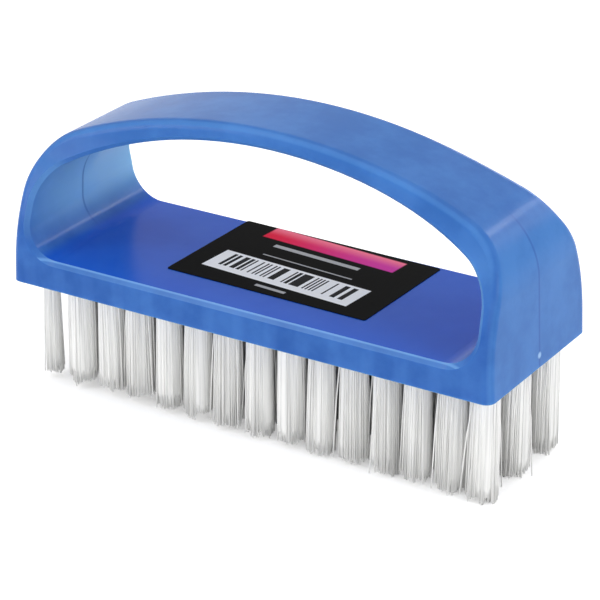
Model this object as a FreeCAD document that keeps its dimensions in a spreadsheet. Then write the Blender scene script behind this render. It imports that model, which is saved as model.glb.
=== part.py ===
import FreeCAD, Part
import math
import os
import Sketcher
from FreeCAD import Vector

# Nail brush: a moulded block with an arched strap handle, staggered bristle tufts folded over flat
# wire anchors in blind holes, and a label on the block's top. Millimetres and degrees. +X runs along
# the block, +Z up, and the origin lies under the block's middle on the plane of the bristle tips.

# Name, value and meaning of every driving dimension
SIZES = [
    ("base_length", 95.0, "block, end to end at its underside"),
    ("base_width", 34.2, "block, front to back"),
    ("base_thickness", 5.3, "block, underside to top"),
    ("end_draft", 2.7, "inward lean of the end faces, degrees"),
    ("handle_height", 34.6, "block's underside to the handle's crest"),
    ("crown_radius", 103.0, "arc over the handle's top"),
    ("shoulder_radius", 12.8, "arc between the handle's top and an end face"),
    ("strap_thickness", 3.35, "handle at its crest"),
    ("leg_thickness", 2.8, "handle where a leg meets the block's top"),
    ("opening_crown_radius", 85.0, "arc over the finger opening"),
    ("opening_shoulder_radius", 9.2, "upper corners of the finger opening"),
    ("heel_radius", 5.8, "lower corners of the finger opening"),
    ("strap_width", 18.4, "handle at its crest, front to back"),
    ("flare_start", 4.25, "height above the block's underside where the flanks begin to draw in"),
    ("flare_middle", 13.35, "depth below the handle's crest where they turn from bulging to hollow"),
    ("flare_end", 3.8, "depth below the handle's crest where they stand upright again"),
    ("edge_radius", 1.8, "rounding of the outer edges"),
    ("opening_edge", 0.8, "bevel of the opening's edges"),
    ("trim_allowance", 2.0, "spare width that the flank cut takes off"),
    ("bristle_length", 20.5, "block's underside to the trimmed tips"),
    ("long_row", 15, "tufts in a long row, one more than in the rows set between"),
    ("rows", 5, "rows of tufts"),
    ("end_margin", 4.1, "middle of a long row's last tuft to the block's end"),
    ("side_margin", 6.6, "middle of an outer row to the block's side"),
    ("hole_diameter", 4.6, "tuft hole, corner to corner"),
    ("hole_floor", 1.4, "plastic left above a tuft hole"),
    ("tuft_clearance", 0.05, "between a tuft and its hole, all round"),
    ("tuft_tip_gap", 0.9, "between neighbouring tufts at their tips"),
    ("tuft_flats", 10, "sides of a filament bundle and its hole"),
    ("fold_thickness", 0.8, "filaments folded between the anchor and the hole's end"),
    ("anchor_thickness", 0.4, "flat wire, across"),
    ("anchor_height", 1.6, "flat wire, along the hole"),
    ("anchor_clearance", 0.02, "around an anchor"),
    ("label_length", 40.0, "label, along the block"),
    ("label_depth", 25.2, "label, front to back"),
    ("label_thickness", 0.12, "printed film"),
    ("label_corner_radius", 0.5, "label's corners"),
    ("label_back_margin", 0.9, "label's back edge to the block's back edge"),
    ("label_angle", -1.0, "how far the label is stuck on askew, degrees"),
]
EDGE_SHARE = 0.6  # most of a leg's thickness that its outer rounding may take
INNER_SHARE = 0.3  # most of a leg's thickness that the opening's bevel may take
HEEL_SHARE = 0.9  # most of a leg's straight length that the opening's lower corner may take
ALIGNED = 0.99  # cosine above which two directions count as parallel

doc = FreeCAD.newDocument("nail_brush")
sheet = doc.addObject("Spreadsheet::Sheet", "sizes")
for row, (name, value, meaning) in enumerate(SIZES, start=1):
    sheet.set(f"A{row}", name)
    sheet.set(f"B{row}", str(value))
    sheet.setAlias(f"B{row}", name)
    sheet.set(f"C{row}", meaning)
doc.recompute()

# Sizes that follow from the driving dimensions, as expressions
BLOCK_TOP = "(sizes.bristle_length + sizes.base_thickness)"
CREST = "(sizes.bristle_length + sizes.handle_height)"
LEG_LEAN = "(sizes.base_thickness * tan(sizes.end_draft * 1 deg))"
OPENING_WIDTH = f"(sizes.base_length - 2 * ({LEG_LEAN} + sizes.leg_thickness))"
TUFT_PITCH = "((sizes.base_length - 2 * sizes.end_margin) / (sizes.long_row - 1))"
ROW_PITCH = "((sizes.base_width - 2 * sizes.side_margin) / (sizes.rows - 1))"
TUFT_SPACING = f"min({TUFT_PITCH}; sqrt(({TUFT_PITCH} / 2)^2 + {ROW_PITCH}^2))"
HOLE_DEPTH = "(sizes.base_thickness - sizes.hole_floor)"
TUFT_DIAMETER = "(sizes.hole_diameter - 2 * sizes.tuft_clearance)"
TUFT_TIP = f"({TUFT_SPACING} - sizes.tuft_tip_gap)"
FLARE = f"(({TUFT_TIP} - {TUFT_DIAMETER}) / 2 * cos(180 deg / sizes.tuft_flats))"
CORNER_SLOPE = "tan(180 deg / sizes.tuft_flats)"
ANCHOR_LENGTH = (
    f"(sizes.hole_diameter - sizes.anchor_thickness * {CORNER_SLOPE} - 2 * sizes.anchor_clearance)"
)
ANCHOR_TOP = f"(sizes.bristle_length + {HOLE_DEPTH} - sizes.fold_thickness)"
ANCHOR_MIDDLE = f"({ANCHOR_TOP} - sizes.anchor_height / 2)"


def size(expression):
    """The number that an expression over the sheet comes to."""
    return float(sheet.evalExpression(expression))


def bind(item, **expressions):
    """Ties properties of an object to the sheet. A double underscore in a name stands for a dot."""
    for name, expression in expressions.items():
        item.setExpression(name.replace("__", "."), expression)


def origin_feature(body, role):
    """One of a body's own base planes or axes."""
    return next(item for item in body.Origin.OriginFeatures if item.Role == role)


def place(item, body, plane, x="0", y="0", z="0"):
    """Attaches a sketch or primitive to one of its body's base planes, moved in that plane's own axes."""
    item.AttachmentSupport = [(origin_feature(body, plane), "")]
    item.MapMode = "FlatFace"
    bind(item, AttachmentOffset__Base__x=x, AttachmentOffset__Base__y=y, AttachmentOffset__Base__z=z)


def new_body(name):
    body = doc.addObject("PartDesign::Body", name)
    body.Label = name
    return body


def new_sketch(body, name, plane, **offsets):
    sketch = body.newObject("Sketcher::SketchObject", name)
    place(sketch, body, plane, **offsets)
    return sketch


def constrain(sketch, name, expression, kind, *where):
    """Adds a named dimension to a sketch and ties it to the sheet."""
    sketch.addConstraint(Sketcher.Constraint(kind, *where, size(expression)))
    index = sketch.ConstraintCount - 1
    sketch.renameConstraint(index, name)
    sketch.setExpression(f"Constraints.{name}", expression)


def relate(sketch, relations):
    """Adds geometric relations, each a kind followed by the elements that it ties."""
    for kind, *where in relations:
        sketch.addConstraint(Sketcher.Constraint(kind, *where))


def line(sketch, start, end):
    sketch.addGeometry(Part.LineSegment(Vector(*start, 0), Vector(*end, 0)), False)


def arc(sketch, centre, radius, start, end):
    circle = Part.Circle(Vector(*centre, 0), Vector(0, 0, 1), radius)
    sketch.addGeometry(Part.ArcOfCircle(circle, start, end), False)


def rectangle(sketch, width, height):
    """A rectangle about the sketch's origin."""
    half_width = size(width) / 2
    half_height = size(height) / 2
    corners = [
        (-half_width, -half_height),
        (half_width, -half_height),
        (half_width, half_height),
        (-half_width, half_height),
    ]
    for number, corner in enumerate(corners):
        line(sketch, corner, corners[(number + 1) % len(corners)])
    relate(sketch, [("Coincident", side, 2, (side + 1) % len(corners), 1) for side in range(len(corners))])
    relate(sketch, [("Horizontal", 0), ("Vertical", 1), ("Horizontal", 2), ("Vertical", 3)])
    relate(sketch, [("Symmetric", 0, 1, 2, 1, -1, 1)])
    constrain(sketch, "width", width, "DistanceX", 0, 1, 0, 2)
    constrain(sketch, "height", height, "DistanceY", 1, 1, 1, 2)


def arch(sketch, foot_width, foot, crest, crown, shoulder):
    """A flat foot, two leaning legs and a crown, with a shoulder arc between the crown and each leg."""
    lean = math.radians(size("sizes.end_draft"))
    half = size(foot_width) / 2
    low = size(foot)
    crown_radius = size(crown)
    shoulder_radius = size(shoulder)
    crown_centre = Vector(0, size(crest) - crown_radius, 0)
    outward = Vector(math.cos(lean), math.sin(lean), 0)
    along_leg = Vector(-math.sin(lean), math.cos(lean), 0)
    # A shoulder's middle lies its radius inside the leg, and its arc touches the crown's from within.
    start = Vector(half, low, 0) - outward * shoulder_radius - crown_centre
    reach = start.dot(along_leg)
    rise = math.sqrt(reach**2 - start.dot(start) + (crown_radius - shoulder_radius) ** 2) - reach
    shoulder_centre = crown_centre + start + along_leg * rise
    leg_end = shoulder_centre + outward * shoulder_radius
    turn = math.atan2(shoulder_centre.y - crown_centre.y, shoulder_centre.x)
    line(sketch, (-half, low), (half, low))
    line(sketch, (half, low), (leg_end.x, leg_end.y))
    arc(sketch, (shoulder_centre.x, shoulder_centre.y), shoulder_radius, lean, turn)
    arc(sketch, (0, crown_centre.y), crown_radius, turn, math.pi - turn)
    arc(sketch, (-shoulder_centre.x, shoulder_centre.y), shoulder_radius, math.pi - turn, math.pi - lean)
    line(sketch, (-leg_end.x, leg_end.y), (-half, low))
    relate(sketch, [("Coincident", 0, 2, 1, 1), ("Coincident", 5, 2, 0, 1)])
    relate(sketch, [("Tangent", side, 2, side + 1, 1) for side in range(1, 5)])
    relate(sketch, [("Symmetric", 0, 1, 0, 2, -2), ("Symmetric", 1, 2, 5, 1, -2)])
    relate(sketch, [("PointOnObject", 3, 3, -2)])
    constrain(sketch, "foot_width", foot_width, "DistanceX", 0, 1, 0, 2)
    constrain(sketch, "foot", foot, "DistanceY", -1, 1, 0, 1)
    constrain(sketch, "crown", crown, "Radius", 3)
    constrain(sketch, "shoulder", shoulder, "Radius", 2)
    constrain(sketch, "crown_drop", f"{crown} - ({crest} - {foot})", "DistanceY", 3, 3, 0, 1)
    sketch.addConstraint(Sketcher.Constraint("Angle", 1, math.pi / 2 + lean))
    sketch.renameConstraint(sketch.ConstraintCount - 1, "lean")
    sketch.setExpression("Constraints.lean", "(90 + sizes.end_draft) * 1 deg")
    leg = (leg_end - Vector(half, low, 0)).Length
    measured = sketch.addConstraint(Sketcher.Constraint("Distance", 1, leg))
    sketch.renameConstraint(measured, "leg")
    sketch.setDriving(measured, False)


def flank(sketch):
    """What lies outside the back flank: upright on the block, drawn in by two arcs to the strap."""
    half_block = "sizes.base_width / 2"
    half_strap = "sizes.strap_width / 2"
    flare_foot = "sizes.bristle_length + sizes.flare_start"
    flare_turn = f"{CREST} - sizes.flare_middle"
    flare_head = f"{CREST} - sizes.flare_end"
    floor = "sizes.bristle_length - sizes.trim_allowance"
    roof = f"{CREST} + sizes.trim_allowance"
    far = "sizes.base_width / 2 + 2 * sizes.trim_allowance"
    wide = size(half_block)
    narrow = size(half_strap)
    low = size(flare_foot)
    middle = size(flare_turn)
    high = size(flare_head)
    slope = 2 * math.atan((wide - narrow) / (high - low))
    bulge = (middle - low) / math.sin(slope)
    hollow = (high - middle) / math.sin(slope)
    line(sketch, (wide, size(floor)), (wide, low))
    arc(sketch, (wide - bulge, low), bulge, 0, slope)
    arc(sketch, (narrow + hollow, high), hollow, math.pi, math.pi + slope)
    line(sketch, (narrow, high), (narrow, size(roof)))
    line(sketch, (narrow, size(roof)), (size(far), size(roof)))
    line(sketch, (size(far), size(roof)), (size(far), size(floor)))
    line(sketch, (size(far), size(floor)), (wide, size(floor)))
    relate(sketch, [("Tangent", 0, 2, 1, 1), ("Tangent", 1, 2, 2, 2), ("Tangent", 2, 1, 3, 1)])
    relate(sketch, [("Coincident", side, 2, (side + 1) % 7, 1) for side in range(3, 7)])
    relate(sketch, [("Vertical", side) for side in (0, 3, 5)] + [("Horizontal", side) for side in (4, 6)])
    constrain(sketch, "half_block", half_block, "DistanceX", -1, 1, 0, 2)
    constrain(sketch, "flare_foot", flare_foot, "DistanceY", -1, 1, 0, 2)
    constrain(sketch, "flare_turn", flare_turn, "DistanceY", -1, 1, 1, 2)
    constrain(sketch, "half_strap", half_strap, "DistanceX", -1, 1, 3, 1)
    constrain(sketch, "flare_head", flare_head, "DistanceY", -1, 1, 3, 1)
    constrain(sketch, "roof", roof, "DistanceY", -1, 1, 3, 2)
    constrain(sketch, "far", far, "DistanceX", -1, 1, 5, 1)
    constrain(sketch, "floor", floor, "DistanceY", -1, 1, 6, 1)


def faces_of(shape, edge):
    return shape.ancestorsOfType(edge, Part.Face)


def is_outline(face):
    """Whether a face runs straight from front to back, as the ends, crown and opening do."""
    surface = face.Surface
    if isinstance(surface, Part.Cylinder):
        return abs(surface.Axis.y) > ALIGNED
    return isinstance(surface, Part.Plane) and abs(surface.Axis.y) < 1 - ALIGNED


def looks_at(face, point):
    """Whether a face's outward side faces a point."""
    first_u, last_u, first_v, last_v = face.ParameterRange
    u = (first_u + last_u) / 2
    v = (first_v + last_v) / 2
    return face.normalAt(u, v).dot(point - face.valueAt(u, v)) > 0


def rim_edges(shape, inner):
    """The edges between the flanks and the outer outline, or the opening's if inner is true."""
    middle = Vector(0, 0, (size(BLOCK_TOP) + size(CREST)) / 2)
    underside = size("sizes.bristle_length")
    names = []
    for number, edge in enumerate(shape.Edges, start=1):
        outlines = [face for face in faces_of(shape, edge) if is_outline(face)]
        on_underside = math.isclose(edge.BoundBox.ZMax, underside, abs_tol=size("sizes.anchor_clearance"))
        if len(outlines) == 1 and not on_underside and looks_at(outlines[0], middle) == inner:
            names.append(f"Edge{number}")
    return names


def fillet(body, name, base, edges, radius):
    rounding = body.newObject("PartDesign::Fillet", name)
    rounding.Base = (base, edges)
    bind(rounding, Radius=radius)
    doc.recompute()
    return rounding


def pocket(body, name, sketch):
    """Cuts a sketch right through, both ways."""
    cut = body.newObject("PartDesign::Pocket", name)
    cut.Profile = sketch
    cut.Type = "ThroughAll"
    cut.SideType = "Symmetric"
    return cut


def pattern(body, name, originals, axis, count, spacing):
    """Repeats features, or the whole body where none are named, along one of its axes."""
    doc.recompute()
    copies = body.newObject("PartDesign::LinearPattern", name)
    if originals:
        copies.Originals = originals
    else:
        copies.TransformMode = "Whole shape"
    copies.Direction = (origin_feature(body, axis), [""])
    copies.Mode = "Spacing"
    bind(copies, Occurrences=count, Offset=spacing)
    body.Tip = copies
    return copies


def prism(item, body, x, y, z, diameter, height):
    """Places and sizes an upright prism of a tuft's section."""
    place(item, body, "XY_Plane", x=x, y=y, z=z)
    bind(item, Polygon="sizes.tuft_flats", Circumradius=f"{diameter} / 2", Height=height)


def column_x(column):
    """Where a column of tufts stands. Columns are half a pitch apart, because the rows are staggered."""
    return f"({column} - (sizes.long_row - 1)) * {TUFT_PITCH} / 2"


def row_y(number):
    return f"({number} - (sizes.rows - 1) / 2) * {ROW_PITCH}"


def rows_like(first):
    """How many rows have tufts where the given first row has, every second one."""
    return f"floor((sizes.rows + 1 - {first}) / 2)"


def tufts_in_row(first):
    """A long row's count, or one fewer in the rows that are set between."""
    return f"(sizes.long_row - {first})"


def brush_body():
    """Block and handle in one moulding, with its tuft holes."""
    body = new_body("brush_body")
    outline = new_sketch(body, "outline", "XZ_Plane")
    foot = "sizes.bristle_length"
    arch(outline, "sizes.base_length", foot, CREST, "sizes.crown_radius", "sizes.shoulder_radius")
    blank = body.newObject("PartDesign::Pad", "blank")
    blank.Profile = outline
    blank.SideType = "Symmetric"
    bind(blank, Length="sizes.base_width + 2 * sizes.trim_allowance")

    opening = new_sketch(body, "opening", "XZ_Plane")
    arch(
        opening,
        OPENING_WIDTH,
        BLOCK_TOP,
        f"({CREST} - sizes.strap_thickness)",
        "sizes.opening_crown_radius",
        "sizes.opening_shoulder_radius",
    )
    finger_gap = pocket(body, "finger_gap", opening)
    doc.recompute()

    block_top = size(BLOCK_TOP)
    half_opening = size(OPENING_WIDTH) / 2
    heel_edges = []
    for number, edge in enumerate(finger_gap.Shape.Edges, start=1):
        middle = edge.CenterOfMass
        if math.isclose(middle.z, block_top) and math.isclose(abs(middle.x), half_opening):
            heel_edges.append(f"Edge{number}")
    heel_radius = f"min(sizes.heel_radius * 1 mm; {HEEL_SHARE} * opening.Constraints.leg)"
    heels = fillet(body, "heels", finger_gap, heel_edges, heel_radius)

    flank_sketch = new_sketch(body, "flank", "YZ_Plane")
    flank(flank_sketch)
    back_flank = pocket(body, "back_flank", flank_sketch)
    both_flanks = body.newObject("PartDesign::Mirrored", "both_flanks")
    both_flanks.Originals = [back_flank]
    both_flanks.MirrorPlane = (origin_feature(body, "XZ_Plane"), [""])
    body.Tip = both_flanks
    doc.recompute()

    outer_radius = f"min(sizes.edge_radius; {EDGE_SHARE} * sizes.leg_thickness)"
    outer = fillet(body, "outer_edges", both_flanks, rim_edges(both_flanks.Shape, False), outer_radius)
    bevel = body.newObject("PartDesign::Chamfer", "opening_edges")
    bevel.Base = (outer, rim_edges(outer.Shape, True))
    bind(bevel, Size=f"min(sizes.opening_edge; {INNER_SHARE} * sizes.leg_thickness)")

    for number in range(int(size("sizes.rows"))):
        first = number % 2
        hole = body.newObject("PartDesign::SubtractivePrism", f"row_{number + 1}_first_hole")
        prism(hole, body, column_x(first), row_y(number), foot, "sizes.hole_diameter", HOLE_DEPTH)
        pattern(body, f"row_{number + 1}_holes", [hole], "X_Axis", tufts_in_row(first), TUFT_PITCH)
    return body


def tuft_column(first):
    """The first tufts that stand in line across the brush: filaments in holes, flaring to trimmed tips."""
    body = new_body(f"tuft_column_{first + 1:02d}")
    x = column_x(first)
    y = row_y(first)
    brush = body.newObject("PartDesign::AdditivePrism", "brush")
    prism(brush, body, x, y, "0", TUFT_DIAMETER, "sizes.bristle_length")
    doc.recompute()
    heights = [face.CenterOfMass.z for face in brush.Shape.Faces]
    sides = []
    for position, height in enumerate(heights, start=1):
        if min(heights) < height < max(heights):
            sides.append(f"Face{position}")
    flare = body.newObject("PartDesign::Draft", "flare")
    flare.Base = (brush, sides)
    flare.NeutralPlane = (brush, [f"Face{heights.index(max(heights)) + 1}"])
    bind(flare, Angle=f"atan({FLARE} / sizes.bristle_length)")
    root = body.newObject("PartDesign::AdditivePrism", "root")
    prism(root, body, x, y, "sizes.bristle_length", TUFT_DIAMETER, f"{HOLE_DEPTH} - sizes.tuft_clearance")
    fold = new_sketch(body, "fold", "YZ_Plane", x=y, y=ANCHOR_MIDDLE, z=x)
    rectangle(
        fold,
        "sizes.anchor_thickness + 2 * sizes.anchor_clearance",
        "sizes.anchor_height + 2 * sizes.anchor_clearance",
    )
    pocket(body, "anchor_way", fold)
    pattern(body, "tufts", [], "Y_Axis", rows_like(first), f"2 * {ROW_PITCH}")
    return body


def next_column(number, source):
    """The same tufts again, some whole pitches further along the brush."""
    body = new_body(f"tuft_column_{number + 1:02d}")
    copy = body.newObject("PartDesign::FeatureBase", "same_tufts")
    copy.BaseFeature = source
    body.Tip = copy
    bind(body, Placement__Base__x=f"{number // 2} * {TUFT_PITCH}")
    return body


def anchor_row(number):
    """The flat wires that hold one row's tufts, each across its hole from wall to wall."""
    body = new_body(f"anchor_row_{number + 1}")
    first = number % 2
    foot = f"{ANCHOR_TOP} - sizes.anchor_height"
    outline = new_sketch(body, "wire", "XY_Plane", x=column_x(first), y=row_y(number), z=foot)
    rectangle(outline, ANCHOR_LENGTH, "sizes.anchor_thickness")
    wire = body.newObject("PartDesign::Pad", "anchor")
    wire.Profile = outline
    bind(wire, Length="sizes.anchor_height")
    pattern(body, "anchors", [], "X_Axis", tufts_in_row(first), TUFT_PITCH)
    return body


def label():
    """Printed film on the block's top, a little askew."""
    body = new_body("label")
    y = "sizes.base_width / 2 - sizes.label_back_margin - sizes.label_depth / 2"
    outline = new_sketch(body, "film_outline", "XY_Plane", y=y, z=BLOCK_TOP)
    bind(outline, AttachmentOffset__Rotation__Angle="sizes.label_angle * 1 deg")
    rectangle(outline, "sizes.label_length", "sizes.label_depth")
    film = body.newObject("PartDesign::Pad", "film")
    film.Profile = outline
    bind(film, Length="sizes.label_thickness")
    doc.recompute()
    upright = []
    for position, edge in enumerate(film.Shape.Edges, start=1):
        if math.isclose(edge.Length, size("sizes.label_thickness")):
            upright.append(f"Edge{position}")
    fillet(body, "corners", film, upright, "sizes.label_corner_radius")
    return body


def build():
    columns = [tuft_column(0), tuft_column(1)]
    for number in range(2, 2 * int(size("sizes.long_row")) - 1):
        columns.append(next_column(number, columns[number % 2]))
    bodies = [brush_body(), label(), *columns]
    bodies += [anchor_row(number) for number in range(int(size("sizes.rows")))]
    doc.recompute()
    return bodies


def check(bodies):
    """Stops with a message if anything failed to build."""
    for item in doc.Objects:
        if "Invalid" in item.State or "Error" in item.State:
            raise RuntimeError(f"{item.Label} failed: {item.State}")
    for body in bodies:
        if body.Shape.isNull() or not body.Shape.isValid():
            raise RuntimeError(f"{body.Label} has no valid shape")


parts = build()
check(parts)
os.makedirs("parts", exist_ok=True)
for part in parts:
    part.Shape.exportStep(f"parts/{part.Label}.step")
    print(part.Label, len(part.Shape.Solids), "solids,", round(part.Shape.Volume, 2), "mm3")
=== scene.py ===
import math

import bpy
import numpy as np
from mathutils import Matrix, Vector


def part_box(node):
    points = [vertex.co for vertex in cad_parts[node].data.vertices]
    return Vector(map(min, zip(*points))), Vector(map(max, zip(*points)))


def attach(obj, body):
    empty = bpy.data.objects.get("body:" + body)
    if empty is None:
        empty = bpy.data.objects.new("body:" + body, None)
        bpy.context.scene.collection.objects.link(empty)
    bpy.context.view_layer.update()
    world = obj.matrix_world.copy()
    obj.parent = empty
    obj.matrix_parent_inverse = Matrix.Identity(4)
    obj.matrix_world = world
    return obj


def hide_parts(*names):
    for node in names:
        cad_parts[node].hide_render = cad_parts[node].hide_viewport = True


# Nail brush: a cloudy blue plastic body with a black label, and white nylon filaments in tufts.
# Lengths are in metres in the CAD frame: +X along the brush, +Z up, the origin under its middle.

MM = 0.001
WHITE = (1.0, 1.0, 1.0, 1.0)

# Marks of the mould: each pair is a reach at full strength, and one where the mark has faded out
PARTING_LINE = (0.1 * MM, 0.4 * MM)
GATE_MARK = (0.3 * MM, 0.75 * MM)
GATE_HEIGHT = 2.2 * MM  # above the block's underside

# Label
LABEL_TILT = math.radians(-1.0)  # how far the label is stuck on askew
PRINT_TILT = math.radians(-3.0)  # print against the label's own edges
PRINT_LINES = (  # middle and half size of each thin line, from the label's middle
    ((-1.0 * MM, 5.1 * MM), (9.0 * MM, 0.55 * MM)),
    ((0.0 * MM, 0.9 * MM), (9.4 * MM, 0.18 * MM)),
    ((0.4 * MM, -10.4 * MM), (3.1 * MM, 0.4 * MM)),
)
BAR_WIDTH = 0.34 * MM  # narrowest bar in the panel

# Filaments
FILAMENTS = 230  # in a tuft
FILAMENT_RADIUS = 0.12 * MM
FILAMENT_SIDES = 5
ROOT_RADIUS = 2.1 * MM  # bundle where it leaves its hole
ROOT_DEPTH = 1.2 * MM  # how far the filaments are followed into the hole
TIP_SPREAD = 1.23  # bundle's growth from root to tip
STATIONS = (0.0, 0.15, 0.5, 1.0)  # rings along a filament, as shares of its length
LOCKS = 6  # clumps that a tuft's tips gather in
GATHER = (0.05, 0.4)  # least and most that a tip is drawn to its lock, as a share of the way
STRAY_SHARE = 0.05  # filaments that lean out of their tuft
FOLD_TURN = 1.3  # most that a tuft's fold turns from straight along the brush, in radians
SPARSE_TUFT = ("tuft_column_01", 0)  # the front left tuft has lost many filaments
SPARSE_WIDTH = 0.58  # share of its radius that is left
SPARSE_SHIFT = 0.15  # how far it has moved to the left, as a share of a whole tuft's radius

# Disorder of the filaments, as shares of the bundle's radius at its root
ROOT_JITTER = 0.03
TIP_JITTER = 0.04
TUFT_LEAN = 0.07
STRAY_LEAN = 0.4
FOLD_PARTING = 0.09  # how far a folded tuft's halves move off to their sides
BOW = 0.02

# Trimmed tips
WORN_RISE = 1.5 * MM  # how much shorter the tufts are at the worn left end
TIP_TRIM = 0.4 * MM  # mean height above the level that the tufts are worn to
FILAMENT_TRIM = 0.245 * MM  # unevenness of single tips
LOCK_TRIM = 0.42 * MM  # unevenness of whole locks

# A tuft's packed inside, as shares of its length and of the bundle's radius there
CORE_RINGS = ((0.0, 0.97), (0.15, 0.97), (0.86, 0.95), (0.955, 0.84))
CORE_SIDES = 14

# Stage
FLOOR_HALF = 3.0
FLOOR_GLOW = 0.35  # brings the floor to white for the eye alone
AMBIENT = 0.5  # light of the surroundings on the brush
BACKDROP = 1.0  # the surroundings to the eye
LAMP_AIM = (0.0, 0.0, 30 * MM)

# Camera, from the photograph's silhouette
CAMERA_TARGET = Vector((0.0, 0.0, 20.5 * MM))  # middle of the block's underside
CAMERA_AZIMUTH = math.radians(31.79)
CAMERA_ELEVATION = math.radians(24.29)
CAMERA_DISTANCE = 450 * MM
CAMERA_SHIFT_RIGHT = 1.22 * MM
CAMERA_SHIFT_UP = 0.73 * MM
CAMERA_SENSOR = 36.0
CAMERA_LENS = 156.9
CAMERA_CLIP = 10 * MM


def srgb(red, green, blue):
    """Scene-linear colour of an 8-bit display colour."""
    return tuple(linear(value / 255) for value in (red, green, blue)) + (1.0,)


def linear(value):
    return value / 12.92 if value <= 0.04045 else ((value + 0.055) / 1.055) ** 2.4


def middle_of(node):
    """Middle of a CAD node's box."""
    low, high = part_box(node)
    return (low + high) / 2


class Shader:
    """A material and short calls that add nodes to it. An input may be a value or another node's socket."""

    def __init__(self, name):
        self.material = bpy.data.materials.new(name)
        self.material.use_nodes = True
        self.nodes = self.material.node_tree.nodes
        self.links = self.material.node_tree.links
        self.surface = self.nodes["Principled BSDF"]

    def feed(self, socket, value):
        if isinstance(value, bpy.types.NodeSocket):
            self.links.new(value, socket)
        else:
            socket.default_value = value

    def add(self, kind, inputs=None, **settings):
        node = self.nodes.new(kind)
        for name, value in settings.items():
            setattr(node, name, value)
        for name, value in (inputs or {}).items():
            self.feed(node.inputs[name], value)
        return node

    def set(self, **inputs):
        """Sets sockets of the surface shader. An underscore in a name stands for a space."""
        for name, value in inputs.items():
            self.feed(self.surface.inputs[name.replace("_", " ")], value)

    def math(self, operation, first, second=0.0):
        return self.add("ShaderNodeMath", {0: first, 1: second}, operation=operation).outputs[0]

    def product(self, *factors):
        result = factors[0]
        for factor in factors[1:]:
            result = self.math("MULTIPLY", result, factor)
        return result

    def scaled(self, value, factor, offset):
        """A value times a factor, plus an offset."""
        return self.math("ADD", self.product(value, factor), offset)

    def ramp(self, value, low, high):
        """0 below low, 1 above high and smooth between. With low above high it runs the other way."""
        inputs = {"Value": value, "From Min": low, "From Max": high}
        return self.add("ShaderNodeMapRange", inputs, interpolation_type="SMOOTHSTEP").outputs[0]

    def mix(self, share, first, second):
        node = self.add("ShaderNodeMix", data_type="RGBA")
        self.feed(node.inputs["Factor"], share)
        self.feed(node.inputs["A"], first)
        self.feed(node.inputs["B"], second)
        return node.outputs["Result"]

    def tint(self, colour, mask, strength, target):
        """A colour moved towards a target where a mask is 1, by a strength of up to 1."""
        return self.mix(self.product(mask, strength), colour, target)

    def place(self):
        """Position in the CAD frame."""
        return self.add("ShaderNodeTexCoord").outputs["Object"]

    def facing(self):
        """Direction of the surface in the CAD frame."""
        return self.add("ShaderNodeTexCoord").outputs["Normal"]

    def parts(self, vector):
        """The X, Y and Z parts of a vector."""
        return self.add("ShaderNodeSeparateXYZ", {0: vector}).outputs

    def noise(self, where, scale, detail=2.0, roughness=0.5):
        inputs = {"Vector": where, "Scale": scale, "Detail": detail, "Roughness": roughness}
        return self.add("ShaderNodeTexNoise", inputs).outputs["Fac"]

    def turned(self, x, y, centre, angle):
        """The parts of a position about a centre, in axes turned by an angle."""
        across = self.math("SUBTRACT", x, centre.x)
        along = self.math("SUBTRACT", y, centre.y)
        cosine = math.cos(angle)
        sine = math.sin(angle)
        u = self.math("ADD", self.product(across, cosine), self.product(along, sine))
        v = self.math("SUBTRACT", self.product(along, cosine), self.product(across, sine))
        return u, v

    def patch(self, u, v, middle, half, soft=0.06 * MM):
        """1 inside an upright rectangle of the u, v plane, with a soft printed edge."""
        sides = []
        for value, centre, reach in ((u, middle[0], half[0]), (v, middle[1], half[1])):
            distance = self.math("ABSOLUTE", self.math("SUBTRACT", value, centre))
            sides.append(self.ramp(distance, reach + soft, reach - soft))
        return self.product(*sides)


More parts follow.
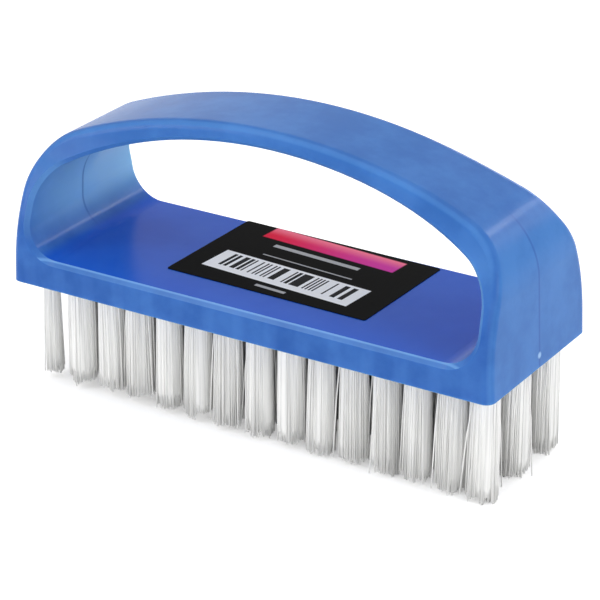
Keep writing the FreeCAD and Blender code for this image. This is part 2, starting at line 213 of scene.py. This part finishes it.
def painted_light_and_shade(shader, colour, where):
    """The body's colour with painted light and shade: paler where the plastic would let light through, a
    deeper blue on the block's top, and highlights along edges.
    """
    x, y, z = shader.parts(where)
    facing = shader.parts(shader.facing())
    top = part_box("label")[0].z
    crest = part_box("brush_body")[1].z

    # Painted light: pale bands where the white tufts would show through the block's walls.
    pitch = middle_of("tuft_column_03").x - middle_of("tuft_column_01").x
    wave = shader.math("COSINE", shader.product(x, 2 * math.pi / pitch))
    in_block = shader.ramp(z, top + 0.4 * MM, top - 1.6 * MM)
    tufts = shader.product(shader.ramp(wave, -0.2, 0.9), in_block)
    colour = shader.tint(colour, tufts, 0.1, srgb(98, 152, 228))

    # Painted light: the strap is painted paler towards the crest, for light through its thinner plastic.
    colour = shader.tint(colour, shader.ramp(z, top, crest), 0.16, srgb(86, 156, 222))

    # Painted light: the legs' inner faces are painted paler, most of all at the back, for light through the
    # thin legs.
    outward = shader.product(facing["X"], shader.math("SIGN", x))
    painted_leg_light = shader.product(
        shader.ramp(outward, -0.25, -0.85),
        shader.ramp(z, top + 0.5 * MM, top + 7 * MM),
        shader.ramp(y, -24 * MM, 8 * MM),
    )
    colour = shader.tint(colour, painted_leg_light, 0.8, srgb(158, 216, 250))

    # Painted light: the ends are painted a little paler, for the same reason.
    colour = shader.tint(colour, shader.ramp(outward, 0.6, 0.95), 0.12, srgb(100, 176, 232))

    # Painted shade: the block's top, under the strap, is painted a deeper blue.
    painted_top_shade = shader.product(shader.ramp(facing["Z"], 0.8, 0.98), shader.ramp(z, top + 3 * MM, top))
    colour = shader.tint(colour, painted_top_shade, 0.75, srgb(6, 80, 196))

    # Painted highlights: the upright corners and the edges that face up and out are painted paler, for light
    # caught on them.
    upright = shader.math("ABSOLUTE", shader.product(facing["X"], facing["Y"]))
    level = shader.math("ABSOLUTE", shader.product(facing["Y"], facing["Z"]))
    edge = shader.ramp(shader.math("MAXIMUM", shader.product(upright, 0.9), level), 0.34, 0.5)
    colour = shader.tint(colour, edge, 0.12, srgb(134, 198, 250))
    # Painted highlight: a thin line of light along the block's top edges.
    painted_rim_highlight = shader.product(
        shader.ramp(z, top - 0.3 * MM, top - 0.15 * MM),
        shader.ramp(z, top + 0.3 * MM, top),
        shader.ramp(level, 0.2, 0.4),
    )
    return shader.tint(colour, painted_rim_highlight, 0.3, srgb(152, 208, 252))


def mould_marks(shader, colour, where):
    """The body's colour with the mould's marks: a parting line up both ends and the gate at the right end."""
    parts = shader.parts(where)
    low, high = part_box("brush_body")
    full, faded = PARTING_LINE
    line = shader.ramp(shader.math("ABSOLUTE", parts["Y"]), faded, full)
    at_end = shader.ramp(shader.math("ABSOLUTE", parts["X"]), high.x - 8 * MM, high.x - 3 * MM)
    parting = shader.product(line, at_end)
    colour = shader.tint(colour, parting, 0.5, srgb(40, 82, 160))

    full, faded = GATE_MARK
    from_gate = {0: where, 1: (high.x, 0.0, low.z + GATE_HEIGHT)}
    distance = shader.add("ShaderNodeVectorMath", from_gate, operation="DISTANCE").outputs["Value"]
    colour = shader.tint(colour, shader.ramp(distance, faded, full), 0.6, srgb(180, 220, 252))
    return colour, parting


def body_plastic():
    """Cloudy, slightly see-through blue with soft mould marks and painted light and shade."""
    shader = Shader("body_plastic")
    where = shader.place()
    cloud = shader.noise(where, 85)
    streak = shader.noise(where, 420, 3.0, 0.6)
    clouds = shader.math("ADD", shader.product(cloud, 0.75), shader.product(streak, 0.25))
    colour = shader.mix(shader.ramp(clouds, 0.36, 0.66), srgb(46, 94, 170), srgb(62, 112, 186))
    colour = painted_light_and_shade(shader, colour, where)
    colour, parting = mould_marks(shader, colour, where)

    relief = shader.scaled(shader.noise(where, 1500), 0.5, parting)
    bump = shader.add("ShaderNodeBump", {"Strength": 0.12, "Distance": 0.05 * MM, "Height": relief})
    shader.set(
        Base_Color=colour,
        Roughness=shader.scaled(streak, 0.1, 0.18),
        Normal=bump.outputs["Normal"],
        Subsurface_Weight=0.35,
        Subsurface_Radius=(0.5, 0.75, 1.0),
        Subsurface_Scale=3.0 * MM,
        Specular_IOR_Level=0.1,
        IOR=1.49,
    )
    return shader.material


def label_film():
    """Black film with plain generic print: a red band, thin lines and a white panel of plain bars."""
    shader = Shader("label_film")
    where = shader.place()
    parts = shader.parts(where)
    u, v = shader.turned(parts["X"], parts["Y"], middle_of("label"), LABEL_TILT + PRINT_TILT)
    speckle = shader.noise(where, 1800)
    colour = shader.mix(speckle, srgb(5, 5, 5), srgb(11, 11, 11))

    band = shader.patch(u, v, (-0.4 * MM, 9.6 * MM), (13.8 * MM, 2.3 * MM), 0.2 * MM)
    hue = shader.mix(shader.ramp(u, -14 * MM, 14 * MM), srgb(228, 44, 74), srgb(210, 68, 162))
    shade = shader.mix(shader.ramp(v, 8.6 * MM, 12.2 * MM), hue, srgb(246, 126, 148))
    colour = shader.mix(band, colour, shade)
    for middle, half in PRINT_LINES:
        colour = shader.tint(colour, shader.patch(u, v, middle, half), 0.8, srgb(196, 196, 196))

    panel = shader.patch(u, v, (-0.3 * MM, -5.0 * MM), (15.2 * MM, 3.8 * MM))
    field = shader.patch(u, v, (-0.3 * MM, -4.5 * MM), (13.2 * MM, 2.6 * MM))
    step = shader.math("FLOOR", shader.math("DIVIDE", u, BAR_WIDTH))
    pick = shader.add("ShaderNodeTexWhiteNoise", {"W": step}, noise_dimensions="1D").outputs["Value"]
    bars = shader.product(shader.math("GREATER_THAN", pick, 0.48), field)
    colour = shader.mix(panel, colour, shader.mix(bars, srgb(248, 248, 246), srgb(44, 44, 44)))
    shader.set(
        Base_Color=colour,
        Roughness=shader.scaled(speckle, 0.12, 0.5),
        Specular_IOR_Level=0.02,
    )
    return shader.material


def bristle_nylon():
    """White monofilament, each a little different, streaked along its length, with painted bluish shade near
    the block.
    """
    shader = Shader("bristle_nylon")
    where = shader.place()
    island = shader.add("ShaderNodeNewGeometry").outputs["Random Per Island"]
    colour = shader.mix(island, srgb(242, 242, 240), srgb(249, 249, 247))
    drawn_out = shader.add("ShaderNodeVectorMath", {0: where, 1: (1.0, 1.0, 0.015)}, operation="MULTIPLY")
    streaks = shader.ramp(shader.noise(drawn_out.outputs[0], 3200, 1.0), 0.56, 0.36)
    colour = shader.tint(colour, streaks, 0.45, srgb(214, 214, 213))
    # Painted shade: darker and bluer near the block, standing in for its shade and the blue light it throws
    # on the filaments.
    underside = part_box("brush_body")[0].z
    painted_root_shade = shader.ramp(shader.parts(where)["Z"], underside - 3.0 * MM, underside + 0.5 * MM)
    colour = shader.tint(colour, painted_root_shade, 0.4, srgb(206, 211, 236))
    shader.set(
        Base_Color=colour,
        Roughness=shader.scaled(island, 0.15, 0.34),
        Specular_IOR_Level=0.3,
    )
    return shader.material


def anchor_wire():
    """Bare wire with a fine uneven sheen."""
    shader = Shader("anchor_wire")
    grain = shader.noise(shader.place(), 2400)
    shader.set(
        Base_Color=shader.mix(grain, srgb(150, 150, 148), srgb(198, 198, 194)),
        Metallic=1.0,
        Roughness=shader.scaled(grain, 0.2, 0.3),
    )
    return shader.material


def dress(node, material):
    """Gives a CAD node a material."""
    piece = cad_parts[node]
    piece.data.materials.clear()
    piece.data.materials.append(material)


def add_object(name, data):
    """Puts a new object into the scene."""
    thing = bpy.data.objects.new(name, data)
    bpy.context.scene.collection.objects.link(thing)
    return thing


def tuft_centres(node):
    """Where a column's tufts stand, from front to back, read from its box: they are two rows apart."""
    low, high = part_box(node)
    middle = middle_of(node)
    step = 2 * (middle_of("anchor_row_2").y - middle_of("anchor_row_1").y)
    width = high.x - low.x
    count = round((high.y - low.y - width) / step) + 1
    return [(middle.x, middle.y + (number - (count - 1) / 2) * step) for number in range(count)]


def root_height():
    """Height at which the filaments start, inside their holes."""
    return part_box("brush_body")[0].z + ROOT_DEPTH


def tip_height(x):
    """Height that the tips are worn to: the brush is shorter towards its left end."""
    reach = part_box("brush_body")[1].x
    return WORN_RISE * (0.5 - 0.5 * x / reach)


def growth(share):
    """How far a bundle has gone from its root form to its tip form at a share of its length."""
    return share**0.5


def tuft_lines(centre, sparse, random):
    """Centre lines of one tuft's filaments, as an array of filament, station and coordinate."""
    turn = random.uniform(0, 2 * math.pi)
    number = np.arange(FILAMENTS)
    radius = np.sqrt((number + 0.5) / FILAMENTS)
    angle = number * math.pi * (3 - math.sqrt(5)) + turn
    roots = np.stack([radius * np.cos(angle), radius * np.sin(angle)], axis=1)
    roots += random.normal(0, ROOT_JITTER, roots.shape)

    # The folded halves part a little, and the tips gather in locks.
    fold = random.uniform(-FOLD_TURN, FOLD_TURN)
    across = np.array([math.sin(fold), math.cos(fold)])
    side = np.sign(roots @ across)[:, None]
    seeds = roots[random.choice(FILAMENTS, LOCKS, replace=False)]
    nearest = np.argmin(((roots[:, None] - seeds[None]) ** 2).sum(axis=2), axis=1)
    gather = random.uniform(*GATHER, (FILAMENTS, 1))
    tips = roots * TIP_SPREAD + gather * (seeds[nearest] * TIP_SPREAD - roots) + side * across * FOLD_PARTING
    tips += random.normal(0, TIP_JITTER, tips.shape) + random.normal(0, TUFT_LEAN, (1, 2))
    stray = random.random((FILAMENTS, 1)) < STRAY_SHARE
    tips += stray * random.normal(0, STRAY_LEAN, tips.shape)

    lock_trim = random.normal(0, LOCK_TRIM, LOCKS)[nearest]
    filament_trim = random.normal(0, FILAMENT_TRIM, FILAMENTS)
    ends = np.maximum(tip_height(centre[0]) + TIP_TRIM + filament_trim + lock_trim, 0.0)
    bow = random.normal(0, BOW, (FILAMENTS, 2))
    if sparse:
        roots = roots * SPARSE_WIDTH - (SPARSE_SHIFT, 0)
        tips = tips * SPARSE_WIDTH - (SPARSE_SHIFT, 0)

    start = root_height()
    lines = np.empty((FILAMENTS, len(STATIONS), 3))
    for station, share in enumerate(STATIONS):
        spread = growth(share)
        flat = roots * (1 - spread) + tips * spread + bow * math.sin(math.pi * share)
        lines[:, station, :2] = np.array(centre) + flat * ROOT_RADIUS
        lines[:, station, 2] = start + (ends - start) * share
    return lines


def unit_circle(sides):
    """Points round a level circle of radius 1, as an array of point and coordinate."""
    angles = np.arange(sides) * 2 * math.pi / sides
    return np.stack([np.cos(angles), np.sin(angles), np.zeros(sides)], axis=1)


def tuft_core(centre, sparse):
    """Rings round a tuft's packed inside, where no single filament shows."""
    width, shift = (SPARSE_WIDTH, SPARSE_SHIFT) if sparse else (1.0, 0.0)
    start = root_height()
    end = tip_height(centre[0])
    rings = []
    for share, fill in CORE_RINGS:
        middle = np.array([centre[0] - shift * ROOT_RADIUS, centre[1], start + (end - start) * share])
        radius = width * fill * ROOT_RADIUS * (1 + (TIP_SPREAD - 1) * growth(share))
        rings.append(middle + unit_circle(CORE_SIDES) * radius)
    return np.array(rings)


def closed_tubes(rings, first):
    """Walls and end caps of tubes, as numbers of their corners, which are counted from the first."""
    index = first + np.arange(rings[..., 0].size).reshape(rings.shape[:3])
    after = np.roll(index, -1, axis=2)
    walls = np.stack([index[:, :-1], index[:, 1:], after[:, 1:], after[:, :-1]], axis=-1)
    caps = np.concatenate([index[:, 0], index[:, -1, ::-1]])
    return walls.reshape(-1, 4).tolist(), caps.tolist()


def tube_mesh(name, groups):
    """A mesh of closed tubes with smooth walls. A group is an array of tube, ring, side and coordinate."""
    corners = np.concatenate([group.reshape(-1, 3) for group in groups])
    walls = []
    caps = []
    first = 0
    for group in groups:
        group_walls, group_caps = closed_tubes(group, first)
        walls += group_walls
        caps += group_caps
        first += group[..., 0].size
    mesh = bpy.data.meshes.new(name)
    mesh.from_pydata(corners, [], walls + caps)
    mesh.polygons.foreach_set("use_smooth", np.arange(len(mesh.polygons)) < len(walls))
    return mesh


def bristle_column(name, node, material, random):
    """One piece for the tufts in line across the brush: a closed tube for each filament and each core."""
    lines = []
    cores = []
    for number, centre in enumerate(tuft_centres(node)):
        sparse = (node, number) == SPARSE_TUFT
        lines.append(tuft_lines(centre, sparse, random))
        cores.append(tuft_core(centre, sparse))
    filaments = np.concatenate(lines)[:, :, None, :] + unit_circle(FILAMENT_SIDES) * FILAMENT_RADIUS
    mesh = tube_mesh(name, [filaments, np.array(cores)])
    mesh.materials.append(material)
    piece = add_object(name, mesh)
    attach(piece, "root")
    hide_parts(node)


def seen_directly(tree):
    """1 for rays from the camera, also by way of a mirror or glass."""
    path = tree.nodes.new("ShaderNodeLightPath")
    seen = path.outputs["Is Camera Ray"]
    for kind in ("Is Glossy Ray", "Is Transmission Ray"):
        either = tree.nodes.new("ShaderNodeMath")
        either.operation = "MAXIMUM"
        tree.links.new(seen, either.inputs[0])
        tree.links.new(path.outputs[kind], either.inputs[1])
        seen = either.outputs[0]
    return seen


def floor():
    """A wide pale sheet under the brush, white to the eye where no shadow falls."""
    shader = Shader("floor_sheet")
    grain = shader.noise(shader.place(), 40)
    shader.set(
        Base_Color=shader.mix(grain, (0.93, 0.93, 0.93, 1.0), (0.95, 0.95, 0.95, 1.0)),
        Roughness=0.9,
        Emission_Color=WHITE,
        Emission_Strength=shader.product(seen_directly(shader.material.node_tree), FLOOR_GLOW),
    )
    mesh = bpy.data.meshes.new("floor_sheet")
    corners = [(x * FLOOR_HALF, y * FLOOR_HALF, 0) for x, y in ((-1, -1), (1, -1), (1, 1), (-1, 1))]
    mesh.from_pydata(corners, [], [(0, 1, 2, 3)])
    mesh.materials.append(shader.material)
    sheet = add_object("floor_sheet", mesh)


def softbox(name, place, width, height, power):
    """A rectangular lamp that is turned to the brush."""
    lamp = bpy.data.lights.new(name, "AREA")
    lamp.shape = "RECTANGLE"
    lamp.size = width
    lamp.size_y = height
    lamp.energy = power
    holder = add_object(name, lamp)
    holder.location = place
    holder.rotation_euler = (Vector(LAMP_AIM) - Vector(place)).to_track_quat("-Z", "Y").to_euler()


def surroundings():
    """A world that is white to the eye and lights the brush more softly."""
    world = bpy.data.worlds.new("studio")
    bpy.context.scene.world = world
    world.use_nodes = True
    nodes = world.node_tree.nodes
    links = world.node_tree.links
    ambient = nodes["Background"]
    backdrop = nodes.new("ShaderNodeBackground")
    for light, strength in ((ambient, AMBIENT), (backdrop, BACKDROP)):
        light.inputs["Color"].default_value = WHITE
        light.inputs["Strength"].default_value = strength
    choice = nodes.new("ShaderNodeMixShader")
    links.new(seen_directly(world.node_tree), choice.inputs[0])
    links.new(ambient.outputs[0], choice.inputs[1])
    links.new(backdrop.outputs[0], choice.inputs[2])
    links.new(choice.outputs[0], nodes["World Output"].inputs["Surface"])


def lamps():
    """Softboxes above, at the front left, by the camera, at the right and behind, and two small lamps."""
    softbox("softbox_top", (-0.05, 0.1, 0.7), 0.5, 0.3, 0.8)
    softbox("softbox_left", (-0.55, -0.55, 0.22), 0.3, 0.4, 2.2)
    softbox("softbox_front", (0.4, -0.65, 0.2), 0.4, 0.3, 0.95)
    softbox("softbox_right", (0.68, -0.12, 0.34), 0.3, 0.4, 1.5)
    softbox("softbox_back", (0.1, 0.7, 0.3), 0.6, 0.2, 1.2)
    # The small lamps glint on the edges and on the shoulder.
    softbox("lamp_edges", (-0.38, -0.33, 0.64), 0.1, 0.1, 0.4)
    softbox("lamp_shoulder", (0.28, 0.66, 0.5), 0.06, 0.06, 0.4)


def camera():
    """The photograph's viewpoint: a long lens to the front right, looking down."""
    level = math.cos(CAMERA_ELEVATION)
    right = Vector((math.cos(CAMERA_AZIMUTH), math.sin(CAMERA_AZIMUTH), 0))
    back = Vector((right.y * level, -right.x * level, math.sin(CAMERA_ELEVATION)))
    up = back.cross(right)
    eye = CAMERA_TARGET + back * CAMERA_DISTANCE + right * CAMERA_SHIFT_RIGHT + up * CAMERA_SHIFT_UP
    lens = bpy.data.cameras.new("camera")
    lens.sensor_width = CAMERA_SENSOR
    lens.lens = CAMERA_LENS
    lens.clip_start = CAMERA_CLIP
    holder = add_object("camera", lens)
    holder.matrix_world = Matrix.Translation(eye) @ Matrix((right, up, back)).transposed().to_4x4()
    bpy.context.scene.camera = holder


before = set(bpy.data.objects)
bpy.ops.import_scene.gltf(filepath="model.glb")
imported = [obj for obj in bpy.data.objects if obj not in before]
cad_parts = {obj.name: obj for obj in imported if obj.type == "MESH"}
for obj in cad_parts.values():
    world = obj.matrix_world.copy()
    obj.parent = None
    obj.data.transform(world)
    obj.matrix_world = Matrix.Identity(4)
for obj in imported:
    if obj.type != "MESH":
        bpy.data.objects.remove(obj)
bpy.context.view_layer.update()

dress("brush_body", body_plastic())
dress("label", label_film())
wire = anchor_wire()
nylon = bristle_nylon()
generator = np.random.default_rng(7)
for node in sorted(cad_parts):
    if node.startswith("anchor_row"):
        dress(node, wire)
    elif node.startswith("tuft_column"):
        bristle_column(node.replace("tuft_column", "bristles"), node, nylon, generator)

floor()
surroundings()
lamps()
camera()
bpy.context.scene.view_settings.view_transform = "Standard"
